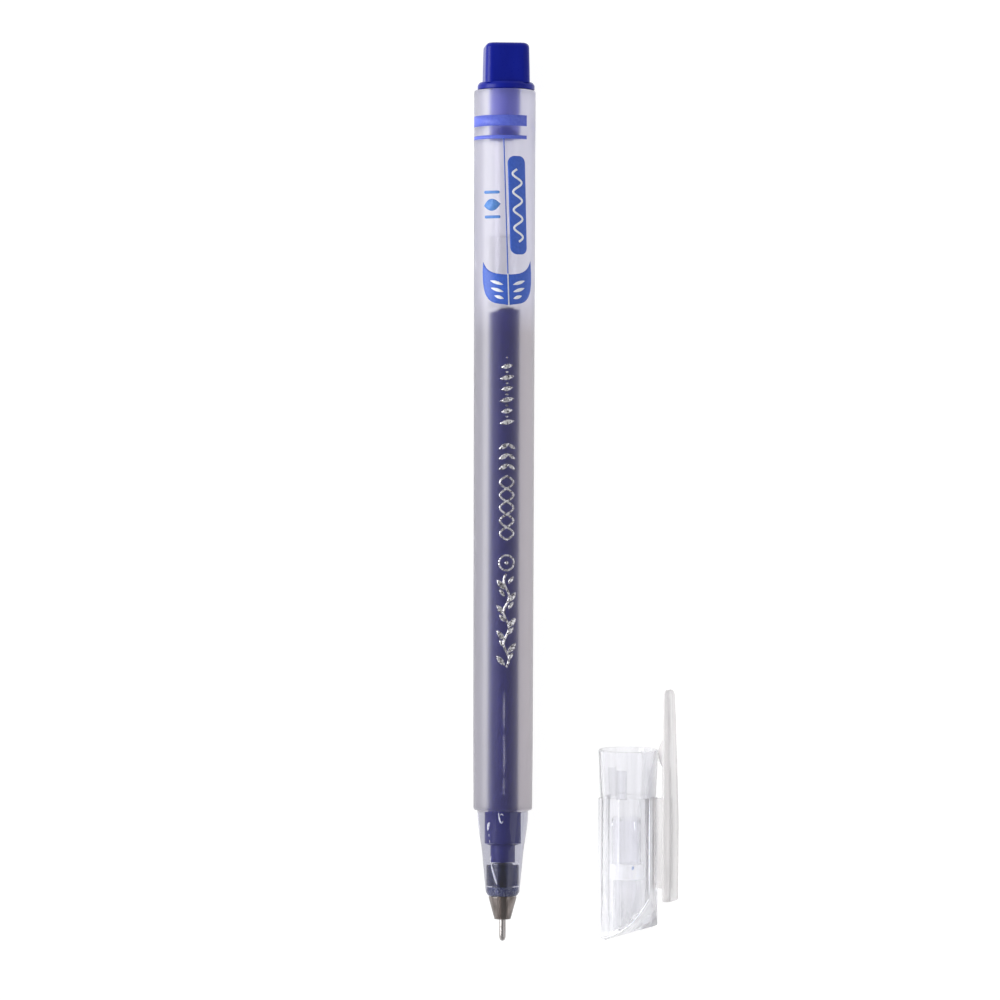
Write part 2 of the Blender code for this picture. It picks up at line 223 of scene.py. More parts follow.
class Looks:
    """A new material's node tree with its Principled shader, and short ways to add to them."""

    def __init__(self, name, **values):
        self.material = bpy.data.materials.new(name)
        self.material.use_nodes = True
        self.tree = self.material.node_tree
        self.shader = self.tree.nodes["Principled BSDF"]
        for key, value in values.items():
            self.shader.inputs[key.replace("_", " ")].default_value = value

    def node(self, kind, **settings):
        """A new node, its settings given as properties or, with _ for a space, as sockets."""
        made = self.tree.nodes.new("ShaderNode" + kind)
        for key, value in settings.items():
            if hasattr(made, key):
                setattr(made, key, value)
            else:
                made.inputs[key.replace("_", " ")].default_value = value
        return made

    def link(self, output, socket):
        self.tree.links.new(output, socket)

    def noise(self, scale, detail=2.0, stretch=(1, 1, 1)):
        """Noise in object space, which stretches along an axis where its factor is small."""
        coordinates = self.node("TexCoord")
        mapping = self.node("Mapping", Scale=stretch)
        noise = self.node("TexNoise", Scale=scale, Detail=detail)
        self.link(coordinates.outputs["Object"], mapping.inputs["Vector"])
        self.link(mapping.outputs["Vector"], noise.inputs["Vector"])
        return noise.outputs["Fac"]

    def ramp(self, factor, *stops):
        """factor's colour on a ramp with stops of (position, colour)."""
        ramp = self.node("ValToRGB")
        elements = ramp.color_ramp.elements
        while len(elements) < len(stops):
            elements.new(0.5)
        for element, (position, color) in zip(elements, stops):
            element.position = position
            element.color = (*color, 1) if len(color) == 3 else color
        self.link(factor, ramp.inputs["Fac"])
        return ramp.outputs["Color"]

    def between(self, factor, low, high, from_low=0.0, from_high=1.0):
        """factor's range mapped to low..high and kept inside it."""
        scaled = self.node("MapRange")
        scaled.inputs["From Min"].default_value = from_low
        scaled.inputs["From Max"].default_value = from_high
        scaled.inputs["To Min"].default_value = low
        scaled.inputs["To Max"].default_value = high
        self.link(factor, scaled.inputs["Value"])
        return scaled.outputs["Result"]

    def position(self, letter):
        """A surface point's X, Y or Z in metres."""
        split = self.node("SeparateXYZ")
        self.link(self.node("TexCoord").outputs["Object"], split.inputs[0])
        return split.outputs[letter]

    def step_along(self, s, width):
        """0 before s along the axis and 1 after it, over a width in mm."""
        start = BALL_FRONT + (s - width / 2) * MM
        return self.between(self.position("Y"), 0, 1, start, start + width * MM)

    def calc(self, operation, first, second):
        math_node = self.node("Math", operation=operation)
        for socket, value in zip(math_node.inputs, (first, second)):
            if isinstance(value, (int, float)):
                socket.default_value = value
            else:
                self.link(value, socket)
        return math_node.outputs[0]

    def blend_colors(self, factor, first, second):
        mix = self.node("Mix", data_type="RGBA")
        self.link(factor, mix.inputs["Factor"])
        for socket, value in zip((mix.inputs[6], mix.inputs[7]), (first, second)):
            if isinstance(value, tuple):
                socket.default_value = (*value, 1)
            else:
                self.link(value, socket)
        return mix.outputs[2]

    def bump(self, height, strength, distance_mm):
        bump = self.node("Bump", Strength=strength, Distance=distance_mm * MM)
        self.link(height, bump.inputs["Height"])
        self.link(bump.outputs["Normal"], self.shader.inputs["Normal"])

    def drive(self, name, output):
        self.link(output, self.shader.inputs[name])


def barrel_plastic():
    """Moulded milky plastic: frosted on the barrel, polished and clear on the nose, with painted shade on the
    frosted wall beside the ink.
    """
    looks = Looks("frosted_barrel", IOR=1.49)
    frosted = looks.step_along(SHOULDER, 0.3)
    haze = looks.noise(900, 4, (1, 0.25, 1))
    tint = looks.ramp(haze, (0.3, (0.64, 0.63, 0.74)), (0.7, (0.67, 0.655, 0.76)))
    # Painted shade: below the ink's top the frosted wall is painted darker, bluish grey on the left and
    # pinkish grey on the right.
    painted_shade_beside_ink = looks.calc("SUBTRACT", 1.0, looks.step_along(INK_TOP - 1, 6))
    right = looks.between(looks.position("X"), 0, 1, PEN_AXIS.x - 2 * MM, PEN_AXIS.x + 4 * MM)
    dim = looks.blend_colors(right, (0.43, 0.42, 0.49), (0.50, 0.455, 0.475))
    shaded = looks.blend_colors(painted_shade_beside_ink, tint, dim)
    looks.drive("Base Color", looks.blend_colors(frosted, (0.47, 0.47, 0.55), shaded))
    looks.drive("Transmission Weight", looks.between(frosted, 0.985, 0.955))
    grain = looks.noise(9000, 3)
    rough = looks.between(grain, 0.25, 0.31)
    looks.drive("Roughness", looks.calc("ADD", looks.calc("MULTIPLY", frosted, rough), 0.03))
    looks.bump(looks.calc("MULTIPLY", grain, frosted), 0.04, 0.01)
    return looks.material


def bore_plastic():
    """The polished inside of the same moulding."""
    looks = Looks("barrel_bore", IOR=1.49)
    tint = looks.ramp(looks.noise(700), (0.3, (0.96, 0.96, 0.98)), (0.7, (0.99, 0.985, 0.99)))
    looks.drive("Base Color", tint)
    looks.drive("Transmission Weight", looks.between(looks.noise(1200), 0.97, 1.0))
    looks.drive("Roughness", looks.between(looks.noise(2500), 0.03, 0.08))
    return looks.material


def plug_plastic():
    """Saturated dark blue moulded plastic with a soft sheen and faint flow marks."""
    looks = Looks("blue_plug", IOR=1.5, Specular_IOR_Level=0.18)
    flow = looks.noise(500, 4, (1, 0.3, 1))
    looks.drive("Base Color", looks.ramp(flow, (0.3, (0.002, 0.008, 0.24)), (0.7, (0.004, 0.012, 0.29))))
    looks.drive("Roughness", looks.between(looks.noise(4000, 3), 0.22, 0.38))
    looks.bump(looks.noise(2600, 3), 0.15, 0.02)
    return looks.material


def stem_plastic():
    """The plug's stem, painted paler than the grip for the light from all round it, with painted shade on its
    domed end.
    """
    looks = Looks("blue_plug_stem", IOR=1.5)
    flow = looks.noise(600, 4, (1, 0.3, 1))
    # Painted light: the stem's blue is paler than the grip's, for the light from all round it.
    pale = looks.ramp(flow, (0.3, (0.22, 0.23, 0.90)), (0.7, (0.25, 0.26, 1.0)))
    aside = looks.calc("SUBTRACT", looks.position("X"), PEN_AXIS.x)
    curvature = 0.28 / MM
    dome = looks.calc("MULTIPLY", looks.calc("MULTIPLY", aside, aside), curvature)
    depth = looks.calc("ADD", looks.position("Y"), dome)
    dome_top = BALL_FRONT + (STEM_END + 1.9) * MM
    # Painted shade: a dark blue end, bounded by a curve like the dome's outline.
    painted_shade_end = looks.between(depth, 1, 0, dome_top, dome_top + 0.15 * MM)
    looks.drive("Base Color", looks.blend_colors(painted_shade_end, pale, (0.03, 0.05, 0.62)))
    looks.drive("Roughness", looks.between(looks.noise(3000, 3), 0.3, 0.45))
    return looks.material


def gel_ink():
    """Opaque dark blue gel, faintly cloudy."""
    looks = Looks("gel_ink", IOR=1.4)
    cloud = looks.noise(350, 4, (1, 0.15, 1))
    looks.drive("Base Color", looks.ramp(cloud, (0.3, (0.045, 0.044, 0.30)), (0.7, (0.060, 0.057, 0.37))))
    looks.drive("Roughness", looks.between(looks.noise(1500), 0.3, 0.45))
    return looks.material


def smear_looks():
    """Ink and air beaten together in the narrow gap round the spigot."""
    looks = Looks("ink_froth", IOR=1.4)
    specks = looks.noise(4200, 5)
    looks.drive("Base Color", looks.ramp(specks, (0.4, (0.10, 0.12, 0.36)), (0.68, (0.42, 0.47, 0.72))))
    looks.drive("Transmission Weight", looks.between(specks, 0.2, 0.5))
    looks.drive("Roughness", looks.between(specks, 0.1, 0.4))
    return looks.material


def clear_grease():
    """The clear gel that floats on the ink."""
    looks = Looks("clear_grease", IOR=1.47)
    looks.drive("Base Color", looks.ramp(looks.noise(300, 3), (0.3, (0.97, 0.97, 0.96)), (0.7, (1, 1, 0.99))))
    looks.drive("Transmission Weight", looks.between(looks.noise(800, 3), 0.93, 1.0))
    looks.drive("Roughness", looks.between(looks.noise(1500, 3), 0.05, 0.15))
    return looks.material


def smoky_plastic():
    """Translucent grey plastic of the tip holder."""
    looks = Looks("smoky_plastic", IOR=1.5)
    flow = looks.noise(1500, 4, (1, 0.05, 1))
    smoke = looks.ramp(flow, (0.35, (0.11, 0.09, 0.082)), (0.65, (0.33, 0.28, 0.265)))
    inside = looks.step_along(NOSE_FRONT + 1.2, 0.8)
    looks.drive("Base Color", looks.blend_colors(inside, smoke, (0.045, 0.05, 0.15)))
    looks.drive("Transmission Weight", looks.between(flow, 0.6, 0.85, 0.35, 0.65))
    looks.drive("Roughness", looks.between(looks.noise(2500, 3), 0.06, 0.14))
    return looks.material


def metal(name, dark, light, rough, lines):
    """Drawn or polished metal with fine marks along its length or round it."""
    looks = Looks(name, Metallic=1.0)
    marks = looks.noise(6000, 4, lines)
    looks.drive("Base Color", looks.ramp(marks, (0.3, dark), (0.7, light)))
    looks.drive("Roughness", looks.between(marks, rough - 0.06, rough + 0.08, 0.3, 0.7))
    looks.bump(marks, 0.12, 0.01)
    return looks.material


def clear_plastic(name="clear_cap", rough=0.06, clouded=0.15, clouded_end=0.0):
    """Clear moulded plastic with flow lines, clouded in bands, with a faint glow for light from all round."""
    looks = Looks(name, IOR=1.34)
    flow = looks.noise(260, 3, (1, 0.15, 1))
    looks.drive("Base Color", looks.ramp(flow, (0.3, (0.955, 0.955, 0.985)), (0.7, (0.98, 0.98, 1.0))))
    bands = looks.noise(380, 2, (1, 0.02, 1))
    clear = looks.between(bands, 1 - 1.9 * clouded, 1 - 0.3 * clouded, 0.35, 0.65)
    if clouded_end:
        end_middle, end_width = 6, 5
        end_share = looks.between(looks.step_along(end_middle, end_width), clouded_end, 0)
        clear = looks.calc("SUBTRACT", clear, end_share)
    looks.drive("Transmission Weight", clear)
    looks.drive("Roughness", looks.between(looks.noise(3000, 3), rough, rough + 0.05))
    looks.drive("Emission Color", looks.ramp(bands, (0.35, (0.93, 0.93, 0.97)), (0.65, (1.0, 1.0, 1.0))))
    looks.shader.inputs["Emission Strength"].default_value = 0.016
    looks.bump(flow, 0.12, 0.05)
    return looks.material


def milky_plastic(name="milky_clip", clearer=0.0):
    """The clip: clouded plastic, faintly warm, with streaks along its length."""
    looks = Looks(name, IOR=1.5)
    streak = looks.noise(700, 4, (1, 0.06, 1))
    looks.drive("Base Color", looks.ramp(streak, (0.3, (0.97, 0.945, 0.95)), (0.7, (1.0, 0.99, 0.995))))
    looks.drive("Transmission Weight", looks.between(streak, 0.45 + clearer, 0.62 + clearer, 0.3, 0.7))
    looks.drive("Roughness", looks.between(looks.noise(3500, 3), 0.18, 0.3))
    looks.bump(streak, 0.2, 0.03)
    return looks.material


def pad_rubber():
    """Soft white rubber that glows a little, for the light that the clear cap gathers on it."""
    looks = Looks("white_rubber", IOR=1.45)
    white = looks.ramp(looks.noise(900, 4), (0.3, (0.95, 0.95, 0.97)), (0.7, (0.99, 0.99, 0.995)))
    looks.drive("Base Color", white)
    looks.drive("Transmission Weight", looks.between(looks.noise(1200, 3), 0.3, 0.4))
    looks.drive("Emission Color", looks.ramp(looks.noise(900, 4), (0.3, (0.9, 0.9, 0.95)), (0.7, (1, 1, 1))))
    looks.shader.inputs["Emission Strength"].default_value = 0.2
    looks.drive("Roughness", looks.between(looks.noise(2500, 3), 0.5, 0.7))
    looks.bump(looks.noise(3500, 4), 0.3, 0.03)
    return looks.material


def print_ink(name, dark, light):
    """Thin printed ink whose coverage varies a little."""
    looks = Looks(name, IOR=1.45)
    patchy = looks.noise(2500, 5)
    looks.drive("Base Color", looks.ramp(patchy, (0.3, dark), (0.7, light)))
    looks.drive("Roughness", looks.between(patchy, 0.35, 0.5))
    looks.bump(patchy, 0.2, 0.01)
    return looks.material


def foil_metal():
    """Hot-stamped silver foil with a crinkly bump; its dark and bright facets are painted reflections in its
    colour.
    """
    looks = Looks("silver_foil", Metallic=1.0)
    crinkle_and_reflection = looks.noise(3200, 3)
    # Painted reflection: dark and bright patches in the silver's colour.
    looks.drive("Base Color", looks.ramp(crinkle_and_reflection, (0.38, (0.16, 0.15, 0.17)), (0.58, (0.86, 0.85, 0.87))))
    looks.drive("Roughness", looks.between(crinkle_and_reflection, 0.15, 0.4))
    looks.bump(crinkle_and_reflection, 0.6, 0.05)
    return looks.material


# ---------------------------------------------------------------- pen


def barrel_radius(s):
    """The frosted barrel's outer radius, which narrows slightly towards the nose."""
    if s > WAIST:
        return WAIST_RADIUS + (RIM_RADIUS - WAIST_RADIUS) * (s - WAIST) / (BARREL_END - WAIST)
    return SHOULDER_RADIUS + (WAIST_RADIUS - SHOULDER_RADIUS) * (s - SHOULDER) / (WAIST - SHOULDER)


def make_barrel():
    """The barrel from its rim down the outside and back up the bore, which is a smoother plastic."""
    steps = 128
    rim = [(BORE, BARREL_END), (RIM_RADIUS - 0.02, BARREL_END), (RIM_RADIUS, BARREL_END - 1)]
    rim = softened(rim, 0.3, 4)
    body = [(barrel_radius(s), s) for s in (110, 70, WAIST)]
    shoulder = softened(
        [(SHOULDER_RADIUS, 23.5), (SHOULDER_RADIUS, SHOULDER), (4.27, SHOULDER), (4.25, 21.3)], 0.45, 5
    )
    nose = flowing([(4.17, 19.8), (4.0, 18.5), (3.75, 16.8), (3.5, 15.2), (3.17, 11.8), (2.86, 8.6)], 4)
    front = softened(
        [(2.8, 8.2), (2.42, NOSE_FRONT), (SPIGOT_BORE, NOSE_FRONT), (SPIGOT_BORE, 8.6)], 0.12, 3
    )
    inside = [
        (SPIGOT_BORE, SPIGOT_BORE_BACK),
        (NECK_BORE, SPIGOT_BORE_BACK),
        (NECK_BORE, NECK_BACK),
        (NOSE_BORE, NECK_BACK + 0.3),
        (NOSE_BORE, NOSE_BORE_BACK - 0.4),
        (BORE, NOSE_BORE_BACK),
        (BORE, 60),
        (BORE, 100),
    ]
    outside_count = len(rim) + len(body) + len(shoulder) + len(nose) + len(front) - 2
    bm = turned_mesh(rim + body + shoulder + nose + front + inside, PEN_AXIS, steps, ring=True)
    barrel = add_piece("barrel_shell", bm, barrel_plastic(), "pen")
    barrel.data.materials.append(bore_plastic())
    for face in barrel.data.polygons:
        first, last = min(face.vertices) // steps, max(face.vertices) // steps
        inner = first >= outside_count or first == 0 and last > 1
        face.material_index = 1 if inner else 0
    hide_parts("barrel")


def rounded_polygon(sides, apothem, rounding, turn, arc_steps=5, flat_steps=4):
    """A regular polygon's outline with rounded corners, its first face's normal at the azimuth turn."""
    points = []
    step = math.tau / sides
    to_centre = (apothem - rounding) / math.cos(step / 2)
    for k in range(sides):
        corner = turn + step * (k + 0.5)
        centre = Vector((math.cos(corner), math.sin(corner))) * to_centre
        for i in range(arc_steps + 1):
            angle = corner - step / 2 + step * i / arc_steps
            points.append(centre + rounding * Vector((math.cos(angle), math.sin(angle))))
        after = turn + step * (k + 1)
        next_centre = Vector((math.cos(corner + step), math.sin(corner + step))) * to_centre
        start = points[-1]
        end = next_centre + rounding * Vector((math.cos(after), math.sin(after)))
        for i in range(1, flat_steps):
            points.append(start.lerp(end, i / flat_steps))
    return points


def ring_of(bm, axis, outline, s):
    """Vertices along an outline of (x, up) points. s is a distance, or a function of x and up."""
    height = s if callable(s) else lambda x, up: s
    return [
        bm.verts.new(Vector((axis.x + x * MM, BALL_FRONT + height(x, up) * MM, AXIS_HEIGHT + up * MM)))
        for x, up in outline
    ]


def make_end_plug():
    """Round flange and stem, and the rounded square grip that stands on the flange."""
    flange_bottom = BARREL_END + 0.1
    off_centre = 0.2
    axis = PEN_AXIS + Vector((off_centre * MM, 0, 0))
    flange = softened(
        [
            (0, FLANGE_TOP),
            (4.42, FLANGE_TOP),
            (4.74, FLANGE_TOP - 0.45),
            (4.75, flange_bottom),
            (1.6, flange_bottom),
            (0, flange_bottom),
        ],
        0.12,
    )
    bm = turned_mesh(flange, axis, 96)
    base, top = FLANGE_TOP - 0.15, PEN_LENGTH
    edge = 0.8
    stations = [(base, 0.0), (base + 2.2, 0.04), (base + 4.4, 0.09)]
    for i in range(7):
        angle = math.pi / 2 * i / 6
        stations.append((top - edge + edge * math.sin(angle), 0.13 + edge * (1 - math.cos(angle))))
    stations.append((top, 1.8))
    rings = []
    for s, inset in stations:
        rounding = max(1.35 - 0.5 * inset, 0.4)
        outline = rounded_polygon(4, 3.75 - inset, rounding, math.pi / 2 + GRIP_TURN, 8, 4)
        rings.append(ring_of(bm, axis, outline, s))
    skin(bm, rings)
    bm.faces.new(rings[0])
    bm.faces.new(rings[-1])
    plug = add_piece("plug_grip", bm, plug_plastic(), "pen")
    radius = BORE + CONTACT
    stem = softened(
        [
            (0, BARREL_END + 0.05),
            (radius, BARREL_END + 0.05),
            (radius, STEM_END),
            (radius - 0.32, STEM_END),
            (radius - 0.5, STEM_END + 0.9),
            (0, STEM_END + 1.9),
        ],
        0.1,
    )
    add_piece("plug_stem", turned_mesh(stem, PEN_AXIS, 64), stem_plastic(), "pen")
    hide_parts("end_plug")


def make_ink():
    """The ink column, its top slanted as it set, and the neck's ink, which stays when the column is used."""
    radius = BORE + CONTACT
    top = INK_TOP + 0.2
    bottom = NECK_BACK + 0.3
    wide = NOSE_BORE + CONTACT
    profile = softened([(0, top), (radius, top), (radius, top - 2)], 0.55, 5) + [
        (radius, 60),
        (radius, NOSE_BORE_BACK),
        (wide, NOSE_BORE_BACK - 0.4),
        (wide, bottom),
        (0, bottom),
    ]

    def slant(x, up, s):
        lift = 0.18 * x - 0.1 * max(0, x - 0.8) ** 2 if s > top - 1.5 else 0
        return x, up, s + lift

    material = gel_ink()
    column = turned_mesh(profile, PEN_AXIS, 64, reshape=slant)
    ink = add_piece("ink_fill", column, material, "pen")
    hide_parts("ink_column")
    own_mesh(ink)
    neck = [
        (0, bottom + 0.01),
        (wide, bottom + 0.01),
        (NECK_BORE + CONTACT, NECK_BACK),
        (NECK_BORE + CONTACT, SPIGOT_BORE_BACK - 0.02),
        (0.4, SPIGOT_BORE_BACK - 0.02),
        (0.4, NEEDLE_BACK + 0.3),
        (0, NEEDLE_BACK + 0.3),
    ]
    add_piece("neck_ink", turned_mesh(neck, PEN_AXIS, 64), material, "pen")


def make_follower():
    """The grease on the ink, its top hollow where it climbs the wall."""
    radius = BORE + CONTACT
    profile = softened(
        [
            (0, FOLLOWER_TOP - 0.35),
            (1.0, FOLLOWER_TOP - 0.28),
            (1.5, FOLLOWER_TOP - 0.1),
            (radius, FOLLOWER_TOP),
            (radius, FOLLOWER_BOTTOM),
            (0, FOLLOWER_BOTTOM),
        ],
        0.12,
    )
    plug = turned_mesh(profile, PEN_AXIS, 64)
    follower = add_piece("grease_follower", plug, clear_grease(), "follower")
    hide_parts("ink_follower")


def make_tip():
    """The smoky holder, the froth round its spigot, the needle with its ball, and the spring's metal."""
    spigot = SPIGOT_BORE + CONTACT
    back = HOLDER_BACK
    collar = NOSE_FRONT - 0.1
    holder = [(0.46, back), (spigot - 0.25, back), (spigot, back - 0.35), (spigot, 9.3)]
    holder += [(1.6, 9.0), (1.6, collar)]
    cone = [(2.3, collar), (2.34, collar - 0.2), (1.36, HOLDER_FRONT + 0.05), (1.25, HOLDER_FRONT)]
    cone.append((0.6, HOLDER_FRONT))
    channel = [(0.6, NEEDLE_BACK + 0.1), (0.46, NEEDLE_BACK + 0.1)]
    outline = softened(holder, 0.1) + softened(cone, 0.12) + channel
    bm = turned_mesh(outline, PEN_AXIS, 96, ring=True)
    tip = add_piece("smoky_tip_holder", bm, smoky_plastic(), "pen")
    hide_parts("tip_holder")

    smear = [(1.61, 7.62), (1.815, 7.62), (1.815, 9.1), (1.75, 9.1), (1.61, 8.9)]
    add_piece("ink_smear", turned_mesh(smear, PEN_AXIS, 96, ring=True), smear_looks(), "pen")

    outside = [(0.34, NEEDLE_BACK), (NEEDLE_RADIUS, NEEDLE_BACK), (NEEDLE_RADIUS, 0.9)]
    outside += [(0.51, 0.55), (0.4, 0.27)]
    lip = [(0.3, 0.13), (0.25, 0.12), (0.27, 0.3), (0.27, 0.5)]
    inside = [(0.15, 0.62), (0.15, 0.8), (0.34, 0.95)]
    bm = turned_mesh(softened(outside + lip + inside, 0.06), PEN_AXIS, 48, ring=True)
    steel = metal("drawn_steel", (0.33, 0.31, 0.305), (0.52, 0.49, 0.48), 0.22, (1, 0.05, 1))
    tube = add_piece("needle_point", bm, steel, "pen")
    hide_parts("needle_tube")

    bm = bmesh.new()
    bmesh.ops.create_icosphere(bm, subdivisions=4, radius=BALL_RADIUS * MM)
    bmesh.ops.translate(bm, verts=bm.verts, vec=place(PEN_AXIS, 0, 0, BALL_RADIUS))
    polished = metal("ball_metal", (0.45, 0.45, 0.48), (0.7, 0.7, 0.73), 0.14, (1, 1, 1))
    ball = add_piece("rolling_ball", bm, polished, "ball")
    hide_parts("writing_ball")

    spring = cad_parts["ball_spring"].data.materials
    spring.clear()
    spring.append(metal("spring_wire", (0.4, 0.4, 0.42), (0.75, 0.75, 0.78), 0.25, (1, 1, 1)))


def glint(name="painted_glint_air"):
    """Painted highlight for the mirror-bright wall of a thin air gap: near-white and glowing, broken up by
    small waves.
    """
    looks = Looks(name, IOR=1.4)
    ripple = looks.noise(3000, 4)
    looks.drive("Base Color", looks.ramp(ripple, (0.35, (0.6, 0.62, 0.72)), (0.55, (0.97, 0.97, 1.0))))
    looks.drive("Roughness", looks.between(ripple, 0.05, 0.2))
    looks.drive("Emission Color", looks.ramp(ripple, (0.35, (0.5, 0.52, 0.7)), (0.6, (1, 1, 1))))
    # Painted highlight: the glow keeps the glint bright under any lamp.
    looks.shader.inputs["Emission Strength"].default_value = 0.7
    return looks.material


def thread(bm, path, thickness, axis=PEN_AXIS):
    """A thin, tapered thread through places given as (radius, azimuth in degrees, s)."""
    places = [place(axis, radius, math.radians(azimuth), s) for radius, azimuth, s in path]
    points = [Vector(p) for p in flowing(places, 5)]
    tip_share = 0.15
    rings = []
    for i, point in enumerate(points):
        t = i / (len(points) - 1)
        swell = math.sin(math.pi * t) ** 0.6 if 0 < t < 1 else 0
        size = thickness * MM * (tip_share + (1 - tip_share) * swell)
        forward = (points[min(i + 1, len(points) - 1)] - points[max(i - 1, 0)]).normalized()
        aside = forward.orthogonal().normalized()
        upward = forward.cross(aside)
        ring = []
        for k in range(8):
            angle = math.tau * k / 8
            ring.append(bm.verts.new(point + size * (aside * math.cos(angle) + upward * math.sin(angle))))
        rings.append(ring)
    skin(bm, rings)
    bm.faces.new(rings[0])
    bm.faces.new(rings[-1])


def make_painted_air_glints():
    """Slivers of air between the ink, the tip holder's spigot and the wall, carrying painted highlights where
    they catch the light.
    """
    bm = bmesh.new()
    # Painted highlights: every thread glows with the glint material.
    hook = [(2.16, 106, 21.7), (2.16, 104, 20.9), (2.16, 100, 20.2), (2.16, 95, 19.9), (2.16, 89, 20.2)]
    thread(bm, hook, 0.1)
    thread(bm, [(2.14, 99, 21.2), (2.14, 94, 21.4), (2.14, 88, 21.1)], 0.06)
    thread(bm, [(2.45, 137, 20.0), (2.5, 142, 19.6), (2.55, 145, 18.6)], 0.18)
    thread(bm, [(2.4, 143, 18.1), (2.4, 142, 17.6)], 0.05)
    thread(bm, [(2.3, 143, 17.1), (2.3, 141, 16.6)], 0.05)
    thread(bm, [(1.88, 146, 13.0), (1.88, 138, 12.0), (1.88, 126, 10.7), (1.88, 116, 9.6)], 0.14)
    thread(bm, [(1.95, 144, 14.4), (1.95, 147, 13.7), (1.95, 146, 13.2)], 0.06)
    thread(bm, [(1.79, 85, 41.8), (1.79, 87, 38), (1.79, 86, 35.2)], 0.035)
    thread(bm, [(1.79, 86.5, 34.8), (1.79, 84.5, 31), (1.79, 86, 27.8)], 0.04)
    thread(bm, [(1.79, 85, 27.4), (1.79, 86.5, 25.8), (1.79, 85, 24.4)], 0.03)
    add_piece("painted_glint_slivers", bm, glint(), "pen")


# ---------------------------------------------------------------- print on the barrel


def capsule(across, s, width, length, rounding=None, steps=8):
    """A rounded rectangle centred at (across, s)."""
    rounding = min(width, length) / 2 if rounding is None else rounding
    points = []
    for k, (sx, sy) in enumerate(((1, 1), (-1, 1), (-1, -1), (1, -1))):
        cx = across + sx * (width / 2 - rounding)
        cy = s + sy * (length / 2 - rounding)
        for i in range(steps + 1):
            angle = math.pi / 2 * (k + i / steps)
            points.append((cx + rounding * math.cos(angle), cy + rounding * math.sin(angle)))
    return points


def leaf(across, s, length, width, angle, steps=10):
    """A pointed oval."""
    points = []
    for i in range(2 * steps):
        t = i / steps
        side = 1 if t < 1 else -1
        u = (1 - 2 * (t % 1)) * side
        v = side * (1 - u * u)
        x, y = u * length / 2, v * width / 2
        turned_x = x * math.cos(angle) - y * math.sin(angle)
        turned_y = x * math.sin(angle) + y * math.cos(angle)
        points.append((across + turned_x, s + turned_y))
    return points


def ribbon(points, width):
    """The outline of a stroke of that width along a line of points."""
    line = [Vector(p) for p in points]
    left, right = [], []
    for i, point in enumerate(line):
        direction = (line[min(i + 1, len(line) - 1)] - line[max(i - 1, 0)]).normalized()
        aside = Vector((-direction.y, direction.x)) * width / 2
        left.append(tuple(point + aside))
        right.append(tuple(point - aside))
    return left + right[::-1]


def wave(across, low, high, amplitude, period, width):
    """A wavy stroke along s."""
    length = high - low
    steps = int(length / period * 16)
    points = []
    for i in range(steps + 1):
        along_wave = length * i / steps
        points.append((across + amplitude * math.sin(math.tau * along_wave / period), low + along_wave))
    return ribbon(points, width)


def ring_outlines(across, s, radius, width):
    """A ring as two half strokes."""
    halves = []
    for start in (0, math.pi):
        arc = [start + math.pi * i / 14 for i in range(15)]
        halves.append(ribbon([(across + radius * math.cos(a), s + radius * math.sin(a)) for a in arc], width))
    return halves


def printed(name, outlines, material, lift=0.012, skew=0.0, origin=0.0, slot="blue_plastic"):
    """Flat outlines of (across, s), cut into narrow strips and wrapped round the barrel as a thin film."""
    bm = bmesh.new()
    for outline in outlines:
        bm.faces.new([bm.verts.new((x, s, 0)) for x, s in outline])
    bmesh.ops.triangulate(bm, faces=bm.faces)
    low = min(v.co.x for v in bm.verts)
    high = max(v.co.x for v in bm.verts)
    strip = 0.25
    for k in range(1, int((high - low) / strip) + 1):
        everything = [*bm.verts, *bm.edges, *bm.faces]
        cut = (low + k * strip, 0, 0)
        bmesh.ops.bisect_plane(bm, geom=everything, plane_co=cut, plane_no=(1, 0, 0))
    bmesh.ops.remove_doubles(bm, verts=bm.verts, dist=0.005)
    for vert in bm.verts:
        across, s, _ = vert.co
        radius = barrel_radius(s) + lift
        lean = math.radians(origin) + skew * (s - 120) / radius
        vert.co = place(PEN_AXIS, radius, math.pi / 2 - lean - across / radius, s)
    film = add_piece(name, bm, material, "pen", sharp=60)
    away = place(PEN_AXIS, 0, 0, 100)
    face = film.data.polygons[0]
    outward = (face.center.x - away.x) * face.normal.x + (face.center.z - away.z) * face.normal.z
    if outward < 0:
        film.data.flip_normals()
    solid = film.modifiers.new("film thickness", "SOLIDIFY")
    solid.thickness = 0.03 * MM
    solid.offset = -1
    return film


